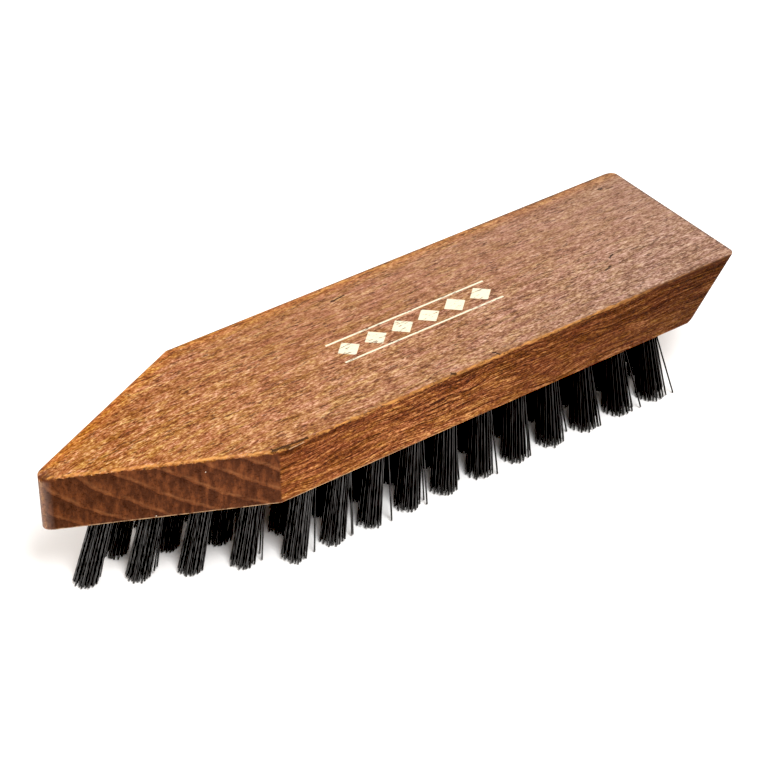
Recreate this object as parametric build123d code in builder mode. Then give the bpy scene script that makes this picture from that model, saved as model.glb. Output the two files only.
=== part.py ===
from build123d import *
import os
from math import atan2, cos, pi, radians, sin, sqrt, tan

# Clothes brush: a pointed beech block with fan-drilled bores, each holding one
# tuft of black nylon that is folded over a flat wire anchor.
# Millimetres, +Z up. The brush stands on its trimmed bristle tips at Z = 0,
# with its nose towards -X and the origin under the middle of its length and width.

# ---------------------------------------------------------------- the block
overall_length = 165.0        # rounded nose tip to the rounded top edge of the rear end
block_width = 43.4
block_thickness = 13.6
nose_half_angle = 25.4        # degrees between each nose face and the centre line
rear_undercut = 12.6          # the rear end leans in by this much at its bottom edge
nose_tip_radius = 2.1
shoulder_radius = 1.5
rear_corner_radius = 1.5
arris_radius = 0.5            # sanded round on every edge

# ---------------------------------------------------------------- the bores
tufts_across = 5              # in a full row; each nose row has one fewer
full_rows = 11
side_margin = 4.15            # outermost bore axis to the side of the block
nose_margin = 16.95           # first bore axis to the sharp corner of the nose
shoulder_margin = 8.4         # shoulder line to the first full row
rear_margin = 10.35           # last full row to the bottom edge of the rear end
set_back = 2.8                # every second tuft of a full row stands this much further back
fan_radius = 276.0            # the bores spread from a point this far above the underside
fan_from_shoulder = 67.8      # shoulder line to the place where the bores stand upright
bore_diameter = 4.5           # across the flats
bore_depth = 8.8
bore_point = 0.8              # height and width of the taper at the bottom of a bore
bore_sides = 8                # a bore and the root packed in it are light regular prisms

# ---------------------------------------------------------------- the tufts
bristle_length = 18.3         # underside of the block to the trimmed tips
root_clearance = 0.05         # packed root to the wall of its bore, all round
fold_thickness = 1.6          # filament lying over the top of the anchor
packed_length = 0.9           # the tuft stays packed this far out of its bore
strand_width = 0.9
strand_gap = 0.2              # least room between strands where they leave the root
strand_inset = 0.1            # corner of an outer strand to the side of the root
tip_spread = 0.75             # the ring of outer strands opens by this much at the tips

# -------------------------------------------------------------- the anchors
anchor_thickness = 0.45
anchor_height = 1.8           # along the bore
anchor_bite = 0.4             # each end cuts this far into the wood
anchor_clearance = 0.02       # anchor to the wood and filament round it

# -------------------------------------------------------- places worked out
underside_z = bristle_length
top_z = underside_z + block_thickness
nose_angle = radians(nose_half_angle)
rear_angle = atan2(block_thickness, rear_undercut)
sharp_nose_x = -overall_length / 2 - nose_tip_radius * (1 / sin(nose_angle) - 1)
shoulder_x = sharp_nose_x + block_width / 2 / tan(nose_angle)
rear_top_x = overall_length / 2 + arris_radius * (1 / tan(rear_angle / 2) - 1)
rear_bottom_x = rear_top_x - rear_undercut

nose_rows = tufts_across - 1
first_full_row_x = shoulder_x + shoulder_margin
nose_pitch = (first_full_row_x - sharp_nose_x - nose_margin) / nose_rows
row_pitch = (rear_bottom_x - rear_margin - first_full_row_x) / (full_rows - 1)
cross_pitch = (block_width - 2 * side_margin) / (tufts_across - 1)
fan_point = Vector(shoulder_x + fan_from_shoulder, 0, underside_z + fan_radius)

bore_radius = bore_diameter / 2
root_radius = bore_radius - root_clearance
root_depth = bore_depth - root_clearance
strand_diagonal = strand_width * sqrt(2)
root_ring_radius = root_radius - strand_inset - strand_diagonal / 2
strands_around = int(2 * pi * root_ring_radius / (strand_diagonal + strand_gap))
anchor_length = bore_diameter + 2 * anchor_bite
anchor_depth = root_depth - fold_thickness - anchor_height / 2


def mouths_of(row):
    """Planes on the bore mouths of one crosswise row, Z pointing out along the bristles."""
    if row <= nose_rows:
        count = row
        x = first_full_row_x - (nose_rows + 1 - row) * nose_pitch
    else:
        count = tufts_across
        x = first_full_row_x + (row - nose_rows - 1) * row_pitch
    planes = []
    for place in range(count):
        back = set_back if count == tufts_across and place % 2 else 0
        mouth = Vector(x + back, (place - (count - 1) / 2) * cross_pitch, underside_z)
        planes.append(Plane(origin=mouth, x_dir=(1, 0, 0), z_dir=mouth - fan_point))
    return planes


def strands_of(mouth):
    """Planes where one tuft's strands start inside its packed root, each facing down a strand."""
    start = Vector(0, 0, packed_length / 2)
    end = Vector(0, 0, bristle_length)
    planes = [Plane(mouth.from_local_coords(start), mouth.x_dir, mouth.z_dir)]
    for step in range(strands_around):
        angle = 2 * pi * step / strands_around
        ring = Vector(cos(angle), sin(angle), 0)
        root = mouth.from_local_coords(start + ring * root_ring_radius)
        tip = mouth.from_local_coords(end + ring * (root_ring_radius + tip_spread))
        planes.append(Plane(root, mouth.x_dir, tip - root))
    return planes


rows = {row: mouths_of(row) for row in range(1, nose_rows + full_rows + 1)}
all_mouths = [mouth for mouths in rows.values() for mouth in mouths]

# Even the strand that leans most runs past the trimming plane, by its own width.
least_drop = min(-plane.z_dir.Z for mouth in all_mouths for plane in strands_of(mouth))
uncut_length = bristle_length / least_drop + strand_width

os.makedirs("parts", exist_ok=True)

# One bore on its own axis: it starts outside its mouth, so that a leaning one
# clears the wood, tapers at its bottom, and has the slot that its anchor cuts.
with BuildPart() as bore:
    with BuildSketch(Plane.XY.offset(bore_radius)):
        RegularPolygon(bore_radius, bore_sides, major_radius=False, rotation=180 / bore_sides)
    extrude(amount=-bore_radius - bore_depth)
    chamfer(bore.faces().sort_by(Axis.Z)[0].edges(), bore_point)
    with Locations((0, 0, -anchor_depth)):
        Box(
            anchor_length + 2 * anchor_clearance,
            anchor_thickness + 2 * anchor_clearance,
            anchor_height + 2 * anchor_clearance,
        )

# The packed root of one tuft on the same axis: it fills its bore, and the fold
# at its inner end goes round the anchor, which lies in the tunnel.
with BuildPart() as root:
    with BuildSketch(Plane.XY.offset(packed_length)):
        RegularPolygon(root_radius, bore_sides, major_radius=False, rotation=180 / bore_sides)
    extrude(amount=-packed_length - root_depth)
    chamfer(root.faces().sort_by(Axis.Z)[0].edges(), bore_point)
    with Locations((0, 0, -anchor_depth)):
        Box(
            anchor_length,
            anchor_thickness + 2 * anchor_clearance,
            anchor_height + 2 * anchor_clearance,
            mode=Mode.SUBTRACT,
        )

# The block: a side profile with a leaning rear end, cut to the pointed plan,
# sanded, and bored from below.
with BuildPart() as block:
    with BuildSketch(Plane.XZ):
        with BuildLine():
            Polyline(
                (sharp_nose_x, underside_z),
                (rear_bottom_x, underside_z),
                (rear_top_x, top_z),
                (sharp_nose_x, top_z),
                close=True,
            )
        make_face()
    extrude(amount=block_width / 2, both=True)
    with BuildSketch(Plane.XY.offset(underside_z)):
        with BuildLine():
            Polyline(
                (sharp_nose_x, 0),
                (shoulder_x, -block_width / 2),
                (rear_top_x, -block_width / 2),
                (rear_top_x, block_width / 2),
                (shoulder_x, block_width / 2),
                close=True,
            )
        make_face()
    extrude(amount=block_thickness, mode=Mode.INTERSECT)
    fillet(block.edges().filter_by(Axis.Z).group_by(Axis.X)[0], nose_tip_radius)
    fillet(block.edges().filter_by(Axis.Z).group_by(Axis.X)[-1], shoulder_radius)
    rear_corners = block.faces().sort_by(Axis.X)[-1].edges().filter_by(Plane.XZ)
    fillet(rear_corners, rear_corner_radius)
    fillet(block.faces().filter_by(Axis.Z).edges(), arris_radius)
    with Locations(*[mouth.location for mouth in all_mouths]):
        add(bore.part, mode=Mode.SUBTRACT)
block.part.label = "block"
export_step(block.part, "parts/block.step")

# Tufts and anchors, one crosswise row to a node.
for row, mouths in rows.items():
    with BuildPart() as tufts:
        with Locations(*[mouth.location for mouth in mouths]):
            add(root.part)
        with BuildSketch(*[plane for mouth in mouths for plane in strands_of(mouth)]):
            Rectangle(strand_width, strand_width)
        extrude(amount=uncut_length)
        split(bisect_by=Plane.XY, keep=Keep.TOP)
    tufts.part.label = f"tuft_row_{row:02d}"
    export_step(tufts.part, f"parts/{tufts.part.label}.step")

    with BuildPart() as anchors:
        with Locations(*[mouth.offset(-anchor_depth).location for mouth in mouths]):
            Box(anchor_length, anchor_thickness, anchor_height)
    anchors.part.label = f"anchor_row_{row:02d}"
    export_step(anchors.part, f"parts/{anchors.part.label}.step")

print("tufts", len(all_mouths), "strands", len(all_mouths) * (1 + strands_around))
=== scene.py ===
# %% [markdown]
# # A pointed clothes brush
#
# The brush is a plank of stained beech, sawn to a point at one end and undercut
# at the other, with 65 tufts of black nylon set in its underside. The packed
# model gives every size and place, in metres. This lesson dresses it: a block
# with worn edges and real bores, filament by filament bristles, a small plain
# printed mark, and the finishes of wood, nylon, ink and wire.

import math
import random

import bmesh
import bpy
from mathutils import Matrix, Vector


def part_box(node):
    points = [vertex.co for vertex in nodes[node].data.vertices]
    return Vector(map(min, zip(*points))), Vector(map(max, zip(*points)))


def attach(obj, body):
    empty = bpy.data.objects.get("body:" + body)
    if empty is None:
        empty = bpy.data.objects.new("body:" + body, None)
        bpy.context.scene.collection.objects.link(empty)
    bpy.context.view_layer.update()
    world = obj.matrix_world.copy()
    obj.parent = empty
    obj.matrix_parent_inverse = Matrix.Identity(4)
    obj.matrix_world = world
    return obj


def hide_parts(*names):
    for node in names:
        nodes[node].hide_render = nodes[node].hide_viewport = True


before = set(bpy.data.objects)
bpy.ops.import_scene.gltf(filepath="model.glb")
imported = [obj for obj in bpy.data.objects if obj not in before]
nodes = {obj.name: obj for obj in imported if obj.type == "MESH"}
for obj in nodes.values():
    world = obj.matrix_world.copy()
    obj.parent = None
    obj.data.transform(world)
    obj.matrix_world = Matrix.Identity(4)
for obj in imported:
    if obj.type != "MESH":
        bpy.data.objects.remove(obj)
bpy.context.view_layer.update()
print("nodes in the frame:", len(nodes))

# %% [markdown]
# ## Sizes
#
# The block's corners come from the frame. The angles and roundings that a box
# can't tell are named here once, as a maker would mark them on the plank.

# %% Sizes of the block
MM = 0.001
block_low, block_high = (Vector(corner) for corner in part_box("block"))
block_size = block_high - block_low
half_width = block_size.y / 2
underside = block_low.z
nose_half_angle = math.radians(25.4)
nose_tip_radius = 2.1 * MM
shoulder_radius = 1.5 * MM
rear_corner_radius = 1.9 * MM
rear_blunting = 0.8 * MM
rear_undercut = 11.7 * MM
arris_width = 0.55 * MM
rear_edge_radius = 0.41 * MM
bore_radius = 2.3 * MM
bore_depth = 8.8 * MM

sharp_nose_x = block_low.x - nose_tip_radius * (1 / math.sin(nose_half_angle) - 1)
shoulder_x = sharp_nose_x + half_width / math.tan(nose_half_angle)
rear_angle = math.atan2(block_size.z, rear_undercut)
rear_top_x = block_high.x + rear_edge_radius * (1 / math.tan(rear_angle / 2) - 1)

# The same places in millimetres, as the finishes use them.
top, bottom, edge = block_high.z / MM, underside / MM, half_width / MM
print("shoulder at", round(shoulder_x / MM, 2), "mm, block", [round(v / MM, 1) for v in block_size])

# %% [markdown]
# ## Where the tufts stand
#
# Each tuft's axis is read from two things in the frame: the middle of the wire
# anchor that holds it, and the middle of its strand ends on the floor. The
# strand ends and anchors of a row are told apart by the gaps between them.


# %% Tuft axes from the frame
def clusters(points, gap=2 * MM):
    """Sorts points across the brush and splits them wherever they leave a gap."""
    points = sorted(points, key=lambda point: point.y)
    groups = [[points[0]]]
    for last, point in zip(points, points[1:]):
        if point.y - last.y > gap:
            groups.append([])
        groups[-1].append(point)
    return groups


def middle(points):
    """The middle of the box that the points fill."""
    low = Vector([min(point[axis] for point in points) for axis in range(3)])
    high = Vector([max(point[axis] for point in points) for axis in range(3)])
    return (low + high) / 2


def tuft_axes(row):
    """The bore mouth and the floor point of every tuft in one crosswise row."""
    strands = nodes[f"tuft_row_{row:02d}"].data.vertices
    wires = nodes[f"anchor_row_{row:02d}"].data.vertices
    tips = clusters([vertex.co for vertex in strands if vertex.co.z < 0.01 * MM])
    anchors = clusters([vertex.co for vertex in wires])
    axes = []
    for tip, anchor in zip(map(middle, tips), map(middle, anchors)):
        share = (underside - tip.z) / (anchor.z - tip.z)
        axes.append((tip.lerp(anchor, share), tip))
    return axes


rows = sorted(int(name[-2:]) for name in nodes if name.startswith("tuft_row_"))
tufts = {row: tuft_axes(row) for row in rows}
print("rows", len(rows), "tufts", sum(len(axes) for axes in tufts.values()))

# %% [markdown]
# ## Shader maths as arithmetic
#
# A finish is mostly sums: distances, masks, mixes. Wrapping a socket in a small
# class lets those sums be written as Python expressions, each adding its Math
# node. Everything else a finish needs comes from one method, `node`.


# %% Shader helpers
def join(slot, value):
    """Links a wrapped socket to an input, or sets a plain value on it."""
    if isinstance(value, Amount):
        value = value.socket
    if isinstance(value, bpy.types.NodeSocket):
        slot.id_data.links.new(value, slot)
    else:
        slot.default_value = value


class Amount:
    """A socket that carries a number."""

    def __init__(self, socket):
        self.socket = socket

    def math(self, operation, *others, flipped=False, clamp=False):
        node = self.socket.id_data.nodes.new("ShaderNodeMath")
        node.operation = operation
        node.use_clamp = clamp
        values = (self, *others)
        for slot, value in zip(node.inputs, reversed(values) if flipped else values):
            join(slot, value)
        return Amount(node.outputs[0])

    def __add__(self, other):
        return self.math("ADD", other)

    def __sub__(self, other):
        return self.math("SUBTRACT", other)

    def __rsub__(self, other):
        return self.math("SUBTRACT", other, flipped=True)

    def __mul__(self, other):
        return self.math("MULTIPLY", other)

    def __truediv__(self, other):
        return self.math("DIVIDE", other)

    def __pow__(self, other):
        return self.math("POWER", other)

    def __abs__(self):
        return self.math("ABSOLUTE")

    def fraction(self):
        return self.math("FRACT")

    def larger(self, other):
        return self.math("MAXIMUM", other)

    def smaller(self, other):
        return self.math("MINIMUM", other)

    def clamped(self):
        return self.math("ADD", 0.0, clamp=True)

    def rising(self, start, end):
        """0 below start, 1 above end, straight in between."""
        return ((self - start) / (end - start)).clamped()

    __radd__ = __add__


class Finish:
    """A material in the making, with its coordinates in millimetres."""

    def __init__(self, name, **fixed):
        self.material = bpy.data.materials.new(name)
        self.material.use_nodes = True
        self.tree = self.material.node_tree
        self.shader = self.tree.nodes["Principled BSDF"]
        for label, value in fixed.items():
            self.shader.inputs[label.replace("_", " ")].default_value = value
        place = self.node("TexCoord").outputs["Object"]
        self.place = self.node("Mapping", {"Vector": place, "Scale": (1000, 1000, 1000)}).outputs[0]
        split = self.node("SeparateXYZ", {"Vector": self.place})
        self.x, self.y, self.z = (Amount(split.outputs[axis]) for axis in "XYZ")

    def node(self, kind, sockets=None, stops=None, **settings):
        """Adds any node but Math: settings first, then a ramp's stops, then its sockets."""
        node = self.tree.nodes.new("ShaderNode" + kind)
        for label, value in settings.items():
            setattr(node, label, value)
        for index, (position, colour) in enumerate(stops or ()):
            points = node.color_ramp.elements
            point = points[index] if index < len(points) else points.new(position)
            point.position = position
            point.color = (*colour, 1)
        for label, value in (sockets or {}).items():
            join(node.inputs[label], value)
        return node

    def noise(self, x, y, z, detail=3.0, roughness=0.55, scale=1.0):
        """Noise at a place given axis by axis, which can so be stretched along the grain."""
        place = self.node("CombineXYZ", {"X": x, "Y": y, "Z": z}).outputs[0]
        sockets = {"Vector": place, "Scale": scale, "Detail": detail, "Roughness": roughness}
        return Amount(self.node("TexNoise", sockets).outputs["Fac"])

    def ramp(self, amount, *stops):
        return self.node("ValToRGB", {"Fac": amount}, stops).outputs["Color"]

    def mix(self, amount, first, second, blend="MIX"):
        node = self.node("Mix", data_type="RGBA", blend_type=blend)
        for slot, value in ((0, amount), (6, first), (7, second)):
            join(node.inputs[slot], value)
        return node.outputs[2]

    def bump(self, height, distance, strength):
        sockets = {"Height": height, "Distance": distance, "Strength": strength}
        return self.node("Bump", sockets).outputs["Normal"]

    def feed(self, **sockets):
        for label, value in sockets.items():
            join(self.shader.inputs[label.replace("_", " ")], value)


# %% [markdown]
# ## Stained beech
#
# Wood is a solid, so its finish is a solid pattern too: growth rings are
# cylinders about a pith that runs lengthwise, beside and above this plank. They
# come out as curved lines where the nose cuts across them. Along the plank the
# wood shows countless short flecks, and its sides show thin wavy golden lines.
# End grain drinks more stain, so the nose is much darker.
#
# Distances steer all this: how far a point lies in from each kind of face, and
# from the arrises between them, where handling has worn the stain off and where
# highlights and shade are painted.


# %% Distances inside the plank, in millimetres
def add_distances(wood):
    """Gives the wood its depths in from every face, and how far towards the rear a point lies: 0 at
    the nose, 1 at the rear.
    """
    wood.below_top = top - wood.z
    wood.above_bottom = wood.z - bottom
    wood.in_from_side = edge - abs(wood.y)
    sine, cosine = math.sin(nose_half_angle), math.cos(nose_half_angle)
    wood.in_from_nose = (wood.x - sharp_nose_x / MM) * sine - abs(wood.y) * cosine
    rear = rear_top_x / MM - wood.x - wood.below_top / math.tan(rear_angle)
    wood.in_from_rear = rear * math.sin(rear_angle)
    wood.age = wood.x.rising(-70, 85)


def from_corner(first, second):
    """Distance from the line where two faces meet."""
    return (first * first + second * second) ** 0.5


def mark(wood, start, end, width):
    """1 on a short scratch between two points, fading to 0 at its ragged edge."""
    run = Vector(end) - Vector(start)
    off = [wood.x - start[0], wood.y - start[1], wood.z - start[2]]
    along = (off[0] * run.x + off[1] * run.y + off[2] * run.z) / run.length_squared
    along = along.clamped()
    gaps = [off[axis] - along * run[axis] for axis in range(3)]
    apart = (gaps[0] * gaps[0] + gaps[1] * gaps[1] + gaps[2] * gaps[2]) ** 0.5
    ragged = apart + wood.fibres * width * 3 - width * 1.5
    return 1 - ragged.rising(width * 0.6, width * 1.2)


# %% Patterns in the wood
def add_patterns(wood):
    """Gives the wood its flecks, fibres, pores, patches of wear, and tint."""
    # The grain veers a little over the nose.
    nose = (-35 - wood.x).larger(0)
    y = wood.y + nose * nose * 0.0028
    wood.patches = wood.noise(wood.x * 0.22, y * 0.55, wood.z * 0.55, 2.0)
    wood.flecks = wood.noise(wood.x * 0.45, y * 1.5, wood.z * 1.5, 3.0, 0.6)
    wood.fibres = wood.noise(wood.x * 1.1, y * 3.0, wood.z * 3.0, 2.0, 0.7)
    wood.bands = wood.noise(wood.x * 0.03, wood.y * 1.3, wood.z * 1.3, 3.0, 0.6)
    pores = wood.noise(wood.x * 0.3, wood.y * 1.7, wood.z * 1.7, 3.0, 0.6, scale=1.3)
    wood.pores = pores.rising(0.60, 0.67)
    wood.wear = wood.noise(wood.x * 0.35, wood.y * 1.5, wood.z * 1.5, 4.0, 0.7)
    hue = wood.noise(wood.x * 0.2, y * 0.8 + 40, wood.z * 0.8, 4.0, 0.7)
    wood.tint = wood.ramp(
        hue,
        (0.38, (1.00, 0.90, 1.10)),
        (0.49, (1.00, 1.00, 1.00)),
        (0.62, (0.96, 1.03, 0.68)),
    )


# %% Flecked grain, as on the top and the underside
def flecked_grain(wood):
    """Grain of the top and the underside: golden at the nose, turning greyer towards the rear as
    painted sheen and painted shade.
    """
    swing = (wood.patches - 0.5) * 0.30 + (wood.bands - 0.5) * 0.32 + (wood.flecks - 0.5) * 0.45
    swing = swing + (wood.fibres - 0.5) * 0.90
    # The far half of the top is calmer.
    calm = wood.y.rising(-8, 8) * wood.x.rising(-45, -15)
    tone = 0.5 + swing * (1 - calm * 0.3)
    golden = wood.ramp(
        tone,
        (0.28, (0.075, 0.018, 0.005)),
        (0.42, (0.191, 0.060, 0.014)),
        (0.50, (0.275, 0.103, 0.030)),
        (0.58, (0.364, 0.161, 0.058)),
        (0.74, (0.620, 0.365, 0.190)),
    )
    greyed_by_painted_sheen = wood.ramp(
        tone,
        (0.28, (0.080, 0.033, 0.019)),
        (0.42, (0.160, 0.078, 0.046)),
        (0.50, (0.233, 0.127, 0.086)),
        (0.58, (0.303, 0.182, 0.130)),
        (0.74, (0.460, 0.310, 0.240)),
    )
    # Painted sheen and shade: towards the rear, and more on the near side, the grain turns greyer
    # and duller where the room would reflect and less light falls.
    grain = wood.mix(wood.age * (1.25 - wood.y.rising(-20, 0) * 0.25), golden, greyed_by_painted_sheen)
    grain = wood.mix(1 - wood.age * 0.7, grain, wood.tint, "MULTIPLY")
    grain = wood.mix(wood.pores * 0.75, grain, (0.070, 0.024, 0.013, 1))

    # The far rim has kept more of its golden stain.
    rim = wood.in_from_nose.smaller(wood.in_from_side) + (1 - wood.y.rising(-1, 1)) * 10
    return wood.mix(1 - rim.rising(0.5, 4.0), grain, (1.15, 0.95, 0.55, 1), "MULTIPLY")


# %% Streaked grain, as on the long sides
def streaked_grain(wood):
    """Grain colour of the sides: long wavy threads of gold on dark red-brown, painted darker
    towards the rear as painted shade.
    """
    grit = wood.noise(wood.x * 1.1, wood.y * 2.4, wood.z * 2.4, 2.0, 0.65)
    sway = wood.noise(wood.x * 0.045, wood.y * 0.1, wood.z * 0.12, 2.0)
    level = wood.z + sway * 5
    streaks = wood.noise(wood.x * 0.06, wood.y * 0.5, level * 1.5, 3.0, 0.6)
    threads = wood.noise(wood.x * 0.10, wood.y, level * 3.0, 2.0, 0.6)
    threads = 1 - (abs(threads - 0.5) * 16).clamped()
    height = wood.above_bottom / (block_size.z / MM)
    swing = (streaks - 0.5) * 0.75 + (grit - 0.5) * 0.85 + threads * 0.30 - height * 0.12
    tone = 0.465 + swing * (1 - abs(wood.x).rising(0, 40) * 0.30)
    streaked = wood.ramp(
        tone,
        (0.30, (0.034, 0.011, 0.006)),
        (0.42, (0.100, 0.028, 0.010)),
        (0.52, (0.170, 0.052, 0.017)),
        (0.62, (0.285, 0.103, 0.033)),
        (0.76, (0.540, 0.260, 0.100)),
    )
    streaked = wood.mix(0.7, streaked, wood.tint, "MULTIPLY")
    # Painted shade: the sides darken towards the rear.
    return wood.mix(wood.x.rising(0, 70), streaked, (0.42, 0.43, 0.45, 1), "MULTIPLY")


# %% Cut grain, as on the nose and the rear end
def cut_grain(wood):
    """Growth rings: each fades from dark to a pale line as it grows outwards."""
    pith_y, pith_z, ring_width = -60.8, 60.4, 3.13
    sway = wood.noise(wood.x * 0.05, wood.y * 0.12, wood.z * 0.12, 2.0)
    ripple = wood.noise(wood.x * 0.4, wood.y * 0.8, wood.z * 0.8, 3.0)
    radius = from_corner(wood.y - pith_y, wood.z - pith_z) + sway * 2.4 + ripple * 0.5 - 1.45
    ring = (radius / ring_width + 0.5).fraction()
    mottle = wood.noise(wood.x * 0.8, wood.y * 0.8, wood.z * 0.3, 4.0, 0.7)
    cut = wood.ramp(
        ring * 0.17 + mottle * 0.95 - 0.06,
        (0.25, (0.036, 0.014, 0.009)),
        (0.45, (0.062, 0.023, 0.013)),
        (0.62, (0.120, 0.040, 0.018)),
        (0.85, (0.210, 0.078, 0.030)),
    )
    faint = wood.noise(wood.x * 0.2, wood.y * 0.35, wood.z * 0.35, 2.0)
    pale = (1 - abs(ring - 0.88).rising(0.0, 0.10)) * faint.rising(0.36, 0.60)
    cut = wood.mix(pale * 0.45, cut, (0.250, 0.104, 0.044, 1))
    # Painted shade: the cut grain darkens towards the nose tip.
    shaded_toward_tip = wood.mix((1 - wood.x.rising(-82, -52)) * 0.5, cut, (0.60, 0.58, 0.52, 1), "MULTIPLY")
    dust = Amount(wood.node("TexVoronoi", {"Vector": wood.place, "Scale": 0.22}).outputs[0])
    return wood.mix(1 - dust.rising(0.02, 0.035), shaded_toward_tip, (0.55, 0.47, 0.38, 1))


# %% The printed mark
def lozenge_print(wood):
    """Ink of a plain border: a row of lozenges between two thin rules."""
    middle_x, middle_y, pitch, count = 9.5, -0.9, 7.0, 6
    to_tip, to_rule = 2.65, 3.7
    along = wood.x - middle_x
    across = abs(wood.y - middle_y)
    step = abs((along / pitch).fraction() - 0.5) * pitch
    lozenge = 1 - (step * 0.95 + across).rising(to_tip, to_tip + 0.13)
    rule = 1 - abs(across - to_rule).rising(0.18, 0.30)
    ends = 1 - abs(along).rising(count * pitch / 2 - 0.1, count * pitch / 2)
    on_top = (wood.z - top).rising(-0.1, -0.05)
    worn = wood.flecks.rising(0.30, 0.40) * (1 - wood.pores * 0.7)
    return lozenge.larger(rule) * ends * on_top * worn


# %% Wear along the edges
def edge_wear_and_light(wood, colour):
    """The colour with painted highlights and worn bright wood along its arrises, dark lines and
    painted shade along some, and a painted highlight along the lower ones.
    """
    side, below_top, wear = wood.in_from_side, wood.below_top, wood.wear
    top_arris = from_corner(side, below_top).smaller(from_corner(wood.in_from_nose, below_top))

    # Bright wood along the top arrises, broken up by the grain: worn stain and a painted highlight.
    frayed = top_arris + (wood.fibres - 0.5) * 1.2 + (wear - 0.5) * 1.8
    rubbed_and_highlight = (1 - frayed.rising(0.2, 0.5)) * (wood.flecks * 2.4 - 0.5).clamped()
    rubbed_and_highlight = rubbed_and_highlight * (0.72 - wood.x.rising(40, 62) * 0.60)
    colour = wood.mix(rubbed_and_highlight, colour, (0.54, 0.250, 0.070, 1))

    # Dark patches on the far and rear arrises, and a dark line below the near one.
    behind = top_arris + (1 - wood.y.rising(0, 1)) * 10
    behind = from_corner(wood.in_from_rear, below_top).smaller(behind)
    dark_arrises = (1 - behind.rising(0.5, 0.9)) * wear.rising(0.40, 0.56)
    dark_arrises = dark_arrises * (0.4 + wood.x.rising(0, 30) * 0.6)
    colour = wood.mix(dark_arrises * 0.75, colour, (0.070, 0.050, 0.045, 1))
    dark_line_below = abs(below_top - 0.45) + (1 - wood.x.rising(30, 60)) + (side - 0.3).larger(0)
    dark_line_below = (1 - dark_line_below.rising(0.20, 0.40)) * wear.rising(0.38, 0.48)
    colour = wood.mix(dark_line_below * 0.9, colour, (0.040, 0.011, 0.005, 1))
    shade = (1 - abs(frayed - 1.0).rising(0.1, 0.45)) * wear.rising(0.56, 0.46)
    shade = shade * (1 - side.rising(0.1, 0.4))
    colour = wood.mix(shade * 0.6, colour, (0.045, 0.013, 0.006, 1))

    # A pale painted highlight along the lower arrises near the nose.
    low_arris = from_corner(side, wood.above_bottom)
    low_arris = low_arris.smaller(from_corner(wood.in_from_nose, wood.above_bottom))
    lower_edge_highlight = (1 - low_arris.rising(0.2, 0.5)) * wear.rising(0.35, 0.55)
    lower_edge_highlight = lower_edge_highlight * (1 - wood.x.rising(-30, 20))
    return wood.mix(lower_edge_highlight * 0.85, colour, (0.62, 0.40, 0.23, 1))


def tip_reflection_and_bruise(wood, colour):
    """The colour with a pale painted reflection down the very tip of the nose, partly worn wood,
    and bruised at its top.
    """
    # Painted reflection: the pale band down the rounded tip stands in for the bright room
    # reflecting there.
    tip = wood.y.rising(-2.0, 0.4) * (1 - wood.y.rising(0.8, 2.2))
    tip = tip * (1 - wood.x.rising(-81.4, -80.4)) * wood.below_top.rising(0.8, 1.6)
    colour = wood.mix(tip * 0.8, colour, (0.215, 0.165, 0.145, 1))
    bruise = (1 - wood.x.rising(-81.6, -79.6)) * (1 - wood.below_top.rising(0.6, 1.4))
    bruise = bruise * wood.wear.rising(0.40, 0.52)
    return wood.mix(bruise * 0.85, colour, (0.08, 0.028, 0.016, 1))


# %% Split and knocks: where each starts and ends, and its width, in millimetres
split = (
    ((-40.6, -20.9, 31.9), (-37.2, -21.4, 31.7), 0.45),
    ((-37.2, -21.3, 31.8), (-32.6, -21.4, 31.8), 0.24),
)
split_lip = ((-37.3, -21.7, 31.2), (-33.6, -21.6, 31.4), 0.17)
knocks = (
    ((15.8, -20.0, 31.9), (16.5, -21.3, 31.8), 0.22),
    ((4.2, -21.1, 31.9), (4.7, -21.4, 31.8), 0.35),
    ((58.6, -6.6, 31.9), (60.2, -5.8, 31.9), 0.20),
    ((54.9, -9.9, 31.9), (56.7, -9.3, 31.9), 0.20),
    ((-1.0, 15.8, 31.9), (2.7, 16.2, 31.9), 0.22),
    ((74.9, 17.0, 31.9), (75.5, 17.0, 31.9), 0.30),
)
print("marks in the split", len(split), "and knocks", len(knocks))


# %% The beech finish
def stained_beech():
    wood = Finish("stained_beech", IOR=1.5, Specular_IOR_Level=0.08, Coat_Roughness=0.38)
    add_distances(wood)
    add_patterns(wood)

    # The long sides are stained darker than the top, partly as painted shade where less light
    # falls, and the end grain drank the most stain.
    side = wood.in_from_side
    colour = wood.mix(1 - side.rising(0.15, 0.55), flecked_grain(wood), streaked_grain(wood))
    ragged = wood.below_top + (wood.flecks - 0.5) * 2.0
    end = wood.in_from_nose.smaller(wood.in_from_rear)
    end_grain = (1 - end.rising(0.2, 0.5)) * (1 - (end - side).rising(-0.1, 0.15))
    end_grain = end_grain * ragged.rising(0.55, 0.8)
    colour = wood.mix(end_grain, colour, cut_grain(wood))
    colour = tip_reflection_and_bruise(wood, edge_wear_and_light(wood, colour))

    # A split runs along the near top arris, and a few knocks dot the top.
    colour = wood.mix(mark(wood, *split_lip) * 0.6, colour, (0.50, 0.32, 0.18, 1))
    marks = mark(wood, *split[0])
    for place in split[1:] + knocks:
        marks = marks.larger(mark(wood, *place))
    colour = wood.mix(marks * 0.9, colour, (0.020, 0.007, 0.004, 1))
    ink = lozenge_print(wood)
    colour = wood.mix(ink, colour, (0.62, 0.58, 0.44, 1))

    height = wood.flecks * 0.5 + wood.fibres * 0.5 - wood.pores * 0.6 - marks * 1.5
    wood.feed(
        Base_Color=colour,
        Roughness=0.45 + wood.flecks * 0.25 - ink * 0.15,
        Coat_Weight=(1 - wood.below_top.rising(0.05, 0.5)) * (wood.age * 0.25 + 0.08),
        Normal=wood.bump(height, 0.00025, 0.9),
    )
    return wood.material


beech = stained_beech()
print("nodes in the beech finish:", len(beech.node_tree.nodes))

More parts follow.
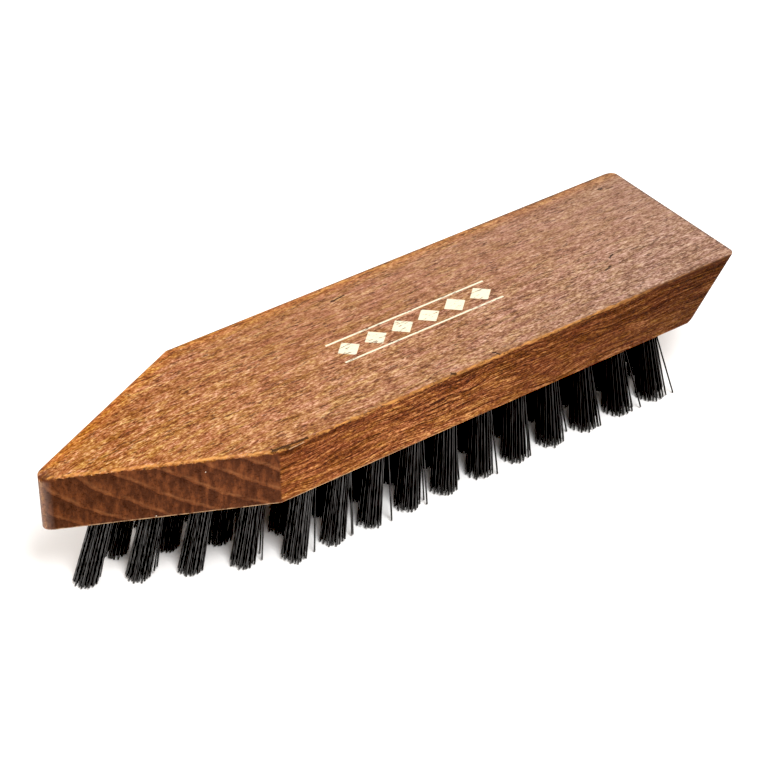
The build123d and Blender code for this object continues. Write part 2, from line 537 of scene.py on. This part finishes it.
# %% [markdown]
# ## The block
#
# The block starts as a plank, a cube stretched to size, and is made with the
# cuts that a joiner would use: two across the nose, a leaning one at the rear,
# and a narrow one that blunts its bottom edge. The upright corners are then
# rounded, and last every arris. Cutting a solid keeps all its faces truly flat,
# which pushing corners about would not.


# %% Saw and round the block
def saw(bm, point, normal):
    """Cuts off what lies beyond a plane and closes the cut."""
    geometry = bm.verts[:] + bm.edges[:] + bm.faces[:]
    cut = bmesh.ops.bisect_plane(
        bm, geom=geometry, plane_co=point, plane_no=normal, clear_outer=True
    )
    rim = [item for item in cut["geom_cut"] if isinstance(item, bmesh.types.BMEdge)]
    bmesh.ops.contextual_create(bm, geom=rim)


def round_edges(bm, edges, offset, segments, kind="OFFSET"):
    bmesh.ops.bevel(
        bm,
        geom=edges,
        offset=offset,
        offset_type=kind,
        segments=segments,
        profile=0.5,
        affect="EDGES",
        material=-1,
    )


def upright_edges(bm, low_x, high_x):
    """Edges from the underside to the top whose middle lies between two places along X."""
    found = []
    for edge in bm.edges:
        a, b = (vertex.co for vertex in edge.verts)
        if abs(a.z - b.z) > block_size.z / 2 and low_x < (a.x + b.x) / 2 < high_x:
            found.append(edge)
    return found


def make_block():
    bm = bmesh.new()
    bmesh.ops.create_cube(bm, size=1)
    length = rear_top_x - sharp_nose_x
    bmesh.ops.scale(bm, verts=bm.verts, vec=(length, block_size.y, block_size.z))
    centre = Vector((sharp_nose_x + length / 2, 0, underside + block_size.z / 2))
    bmesh.ops.translate(bm, verts=bm.verts, vec=centre)
    sine, cosine = math.sin(nose_half_angle), math.cos(nose_half_angle)
    for side in (-1, 1):
        saw(bm, (sharp_nose_x, 0, 0), (-sine, side * cosine, 0))
    lean = Vector((math.sin(rear_angle), 0, -math.cos(rear_angle)))
    saw(bm, (rear_top_x, 0, block_high.z), lean)
    between = (lean + Vector((0, 0, -1))).normalized()
    corner = Vector((rear_top_x - rear_undercut, 0, underside))
    saw(bm, corner - between * rear_blunting, between)
    bmesh.ops.remove_doubles(bm, verts=bm.verts, dist=0.01 * MM)

    tip = nose_tip_radius / math.tan(nose_half_angle)
    turn = math.pi - nose_half_angle
    shoulder = shoulder_radius / math.tan(turn / 2)
    round_edges(bm, upright_edges(bm, -1, sharp_nose_x + 5 * MM), tip, 8)
    round_edges(bm, upright_edges(bm, shoulder_x - MM, shoulder_x + MM), shoulder, 4)
    round_edges(bm, upright_edges(bm, rear_top_x - rear_undercut, 1), rear_corner_radius, 6)
    flat = [face for face in bm.faces if abs(face.normal.z) > 0.999]
    rim = {edge for face in flat for edge in face.edges}
    round_edges(bm, list(rim), arris_width, 4, "WIDTH")
    bmesh.ops.recalc_face_normals(bm, faces=bm.faces)
    mesh = bpy.data.meshes.new("plank")
    bm.to_mesh(mesh)
    bm.free()
    return mesh


# %% [markdown]
# The tufts sit in blind holes, drilled one after another on their own axes, so
# that the bristles fan out. A Boolean modifier takes all 65 drills out of the
# plank at once. It is applied straight away, and the drills are thrown away.


# %% Drill the bores
def drill_shapes():
    bm = bmesh.new()
    proud = 2 * MM
    for mouth, floor_point in (axis for row in rows for axis in tufts[row]):
        down = (floor_point - mouth).normalized()
        centre = mouth + down * (proud - bore_depth) / 2
        turn = down.to_track_quat("Z", "Y").to_matrix().to_4x4()
        bmesh.ops.create_cone(
            bm,
            cap_ends=True,
            segments=24,
            radius1=bore_radius,
            radius2=bore_radius,
            depth=proud + bore_depth,
            matrix=Matrix.Translation(centre) @ turn,
        )
    mesh = bpy.data.meshes.new("drills")
    bm.to_mesh(mesh)
    bm.free()
    return mesh


def drill(plank_mesh):
    """The plank's mesh with the bores taken out of it."""
    plank = bpy.data.objects.new("plank", plank_mesh)
    drills = bpy.data.objects.new("drills", drill_shapes())
    for item in (plank, drills):
        bpy.context.collection.objects.link(item)
    cut = plank.modifiers.new("bores", "BOOLEAN")
    cut.operation = "DIFFERENCE"
    cut.solver = "EXACT"
    cut.object = drills
    bored = plank.evaluated_get(bpy.context.evaluated_depsgraph_get())
    mesh = bpy.data.meshes.new_from_object(bored)
    for item in (plank, drills):
        bpy.data.objects.remove(item)
    mesh.name = "beech_block"
    mesh.materials.clear()
    mesh.materials.append(beech)
    return mesh


def place(name, mesh):
    """Puts a finished mesh in the scene, at the origin, riding on the one body."""
    mesh.shade_smooth()
    piece = bpy.data.objects.new(name, mesh)
    bpy.context.collection.objects.link(piece)
    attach(piece, "root")
    return piece


block = place("beech_block", drill(make_block()))
block.data.set_sharp_from_angle(angle=math.radians(50))
weigh = block.modifiers.new("flat_faces_stay_flat", "WEIGHTED_NORMAL")
weigh.weight = 100
weigh.keep_sharp = True
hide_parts("block")
print("block faces", len(block.data.polygons))

# %% [markdown]
# ## Black nylon
#
# Extruded filament is smooth and nearly black, with a narrow grey highlight
# down its length, and its trimmed ends are paler. Towards the nose the tufts
# are painted lighter, as painted light.


# %% The nylon finish
def black_nylon():
    nylon = Finish("black_nylon", Roughness=0.4, IOR=1.53, Specular_IOR_Level=0.20)
    shade = nylon.noise(nylon.x * 2.2, nylon.y * 2.2, nylon.z * 0.05, 2.0)
    body = nylon.ramp(shade, (0.35, (0.003, 0.003, 0.003)), (0.65, (0.012, 0.011, 0.011)))
    tip = 1 - nylon.z.rising(0.1, 1.2)
    # Painted light: towards the nose the filaments get lighter streaks and more coat, as the tufts
    # there catch more light.
    lit_toward_nose = 1 - nylon.x.rising(-30, 45)
    body = nylon.mix(lit_toward_nose * shade.rising(0.40, 0.62), body, (0.026, 0.025, 0.025, 1))
    nylon.feed(
        Base_Color=nylon.mix(tip * 0.35, body, (0.09, 0.085, 0.08, 1)),
        Coat_Weight=lit_toward_nose * shade.rising(0.35, 0.65) * 0.9,
    )
    return nylon.material


nylon = black_nylon()
print("nodes in the nylon finish:", len(nylon.node_tree.nodes))

# %% [markdown]
# ## The bristles
#
# Bristles could be hair particles, but those don't export. Each filament here
# is one short spline of a curve object whose bevel gives it thickness, because
# a spline is the plainest way to say thin, round and slightly bent. Filaments
# are packed in their bore on a sunflower spiral, spread a little towards their
# tips, and are trimmed by hand-held shears, so no two end quite level.

# %% Grow the tufts
filament_radius = 0.20 * MM
filaments_per_tuft = 62
packed_radius = 2.05 * MM
nose_spread, rear_spread = 1.32, 1.82
depth_in_bore = 5.2 * MM
bends = (0.0, 0.25, 0.5, 0.75, 1.0)
uneven_trim, most_uneven_trim = 0.35, 1.6
tip_wander, middle_bow = 0.07, 0.025
stray_share, inner_stray_size = 0.16, 0.4
golden_angle = math.pi * (3 - math.sqrt(5))
draw = random.Random(7)


def filament_path(root, tip, place_in_tuft):
    """Points of one filament, from inside its bore to its trimmed end."""
    axis = (tip - root).normalized()
    side = axis.orthogonal().normalized()
    other = axis.cross(side)
    reach = packed_radius * math.sqrt((place_in_tuft + 0.5) / filaments_per_tuft)
    angle = golden_angle * place_in_tuft
    offset = (side * math.cos(angle) + other * math.sin(angle)) * reach
    wander = Vector((draw.gauss(0, tip_wander), draw.gauss(0, tip_wander), 0)) * MM
    bow = Vector((draw.gauss(0, middle_bow), draw.gauss(0, middle_bow), 0)) * MM
    short = min(abs(draw.gauss(0, uneven_trim)), most_uneven_trim) * MM
    # A few at the back of each tuft stray backwards and out, most in the near tufts.
    if offset.x > packed_radius * 0.5 and draw.random() < stray_share:
        stray = Vector((draw.uniform(0.4, 2.4), draw.uniform(-1.4, 0.2), 0)) * MM
        wander += stray * (1.0 if root.y < -half_width / 6 else inner_stray_size)
    along = (root.x - shoulder_x) / (block_high.x - shoulder_x)
    spread = nose_spread + (rear_spread - nose_spread) * min(max(along, 0), 1)
    start = root + offset - axis * depth_in_bore
    end = tip + offset * spread + wander
    end += axis * ((filament_radius - end.z) / axis.z)
    end -= axis * short
    points = []
    for share in bends:
        points.append(start.lerp(end, share) + bow * math.sin(math.pi * share))
    return points


def grow_row(row):
    curve = bpy.data.curves.new(f"bristles_row_{row:02d}", "CURVE")
    curve.dimensions = "3D"
    curve.bevel_depth = filament_radius
    curve.bevel_resolution = 1
    curve.use_fill_caps = True
    for root, tip in tufts[row]:
        for place_in_tuft in range(filaments_per_tuft):
            spline = curve.splines.new("POLY")
            spline.points.add(len(bends) - 1)
            for point, co in zip(spline.points, filament_path(root, tip, place_in_tuft)):
                point.co = (*co, 1)
            spline.use_smooth = True
    holder = bpy.data.objects.new("holder", curve)
    mesh = bpy.data.meshes.new_from_object(holder)
    bpy.data.objects.remove(holder)
    mesh.name = curve.name
    mesh.materials.append(nylon)
    piece = place(curve.name, mesh)
    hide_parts(f"tuft_row_{row:02d}")
    return len(mesh.polygons)


faces = sum(grow_row(row) for row in rows)
print("filaments", filaments_per_tuft * sum(map(len, tufts.values())), "faces", faces)

# %% [markdown]
# ## The wire anchors
#
# The anchors are hidden in the wood. The frame's own shapes are right, so they
# stay, and only get the finish of drawn flat wire.


# %% Finish the anchors
def drawn_wire():
    wire = Finish("drawn_wire", Metallic=1.0)
    lines = wire.noise(wire.x * 0.4, wire.y * 9, wire.z * 9, 3.0)
    wire.feed(
        Base_Color=wire.ramp(lines, (0.3, (0.42, 0.42, 0.43)), (0.7, (0.62, 0.62, 0.63))),
        Roughness=0.25 + lines * 0.2,
    )
    return wire.material


wire = drawn_wire()
for name, node in nodes.items():
    if name.startswith("anchor_row_"):
        for slot in node.material_slots:
            slot.material = wire
print("nodes in the wire finish:", len(wire.node_tree.nodes))

# %% [markdown]
# ## Floor, light and camera
#
# The brush stands on a white sheet in a bright, evenly white room. One soft lamp
# high in front gives the faces a little shape and throws the tufts' shadows
# straight back under the block. The deepest shadows print as full black.

# %% Stage
bm = bmesh.new()
bmesh.ops.create_grid(bm, x_segments=1, y_segments=1, size=3.0)
floor_mesh = bpy.data.meshes.new("floor")
bm.to_mesh(floor_mesh)
bm.free()
sheet = Finish("white_sheet", Roughness=0.9, Base_Color=(0.9, 0.9, 0.9, 1))
floor_mesh.materials.append(sheet.material)
floor = bpy.data.objects.new("floor", floor_mesh)
bpy.context.collection.objects.link(floor)

world = bpy.data.worlds.new("white_room")
world.use_nodes = True
room = world.node_tree.nodes["Background"]
room.inputs["Color"].default_value = (1.0, 0.95, 0.90, 1)
room.inputs["Strength"].default_value = 1.24
bpy.context.scene.world = world
view = bpy.context.scene.view_settings
view.view_transform = "Standard"
view.use_curve_mapping = True
view.curve_mapping.black_level = (0.02, 0.02, 0.02)
view.curve_mapping.update()

lamp = bpy.data.lights.new("key", "AREA")
lamp.size = 0.36
lamp.energy = 8.2
key = bpy.data.objects.new("key", lamp)
key.location = (-0.08, -0.50, 0.80)
aim = Vector((0, 0, 20 * MM)) - key.location
key.rotation_euler = aim.to_track_quat("-Z", "Y").to_euler()
bpy.context.collection.objects.link(key)
print("lamp aimed along", [round(value, 2) for value in aim])

# %% [markdown]
# The camera looks down on the near side from the left of square, through a
# fairly long lens, tipped by less than a degree.

# %% Camera
view_azimuth = math.radians(-35.16)
view_elevation = math.radians(35.96)
view_roll = math.radians(-0.69)
view_distance = 559.1 * MM
view_target = Vector((-11.43, -17.46, 34.61)) * MM

camera_data = bpy.data.cameras.new("camera")
camera_data.sensor_width = 36
camera_data.lens = 127.9
camera_data.clip_start = 0.01
camera = bpy.data.objects.new("camera", camera_data)
bpy.context.collection.objects.link(camera)
around = Matrix.Rotation(view_azimuth, 4, "Z")
down = Matrix.Rotation(math.pi / 2 - view_elevation, 4, "X")
turn = around @ down @ Matrix.Rotation(view_roll, 4, "Z")
away = Matrix.Translation((0, 0, view_distance))
camera.matrix_world = Matrix.Translation(view_target) @ turn @ away
bpy.context.scene.camera = camera
print("camera at", [round(value / MM) for value in camera.matrix_world.translation], "mm")
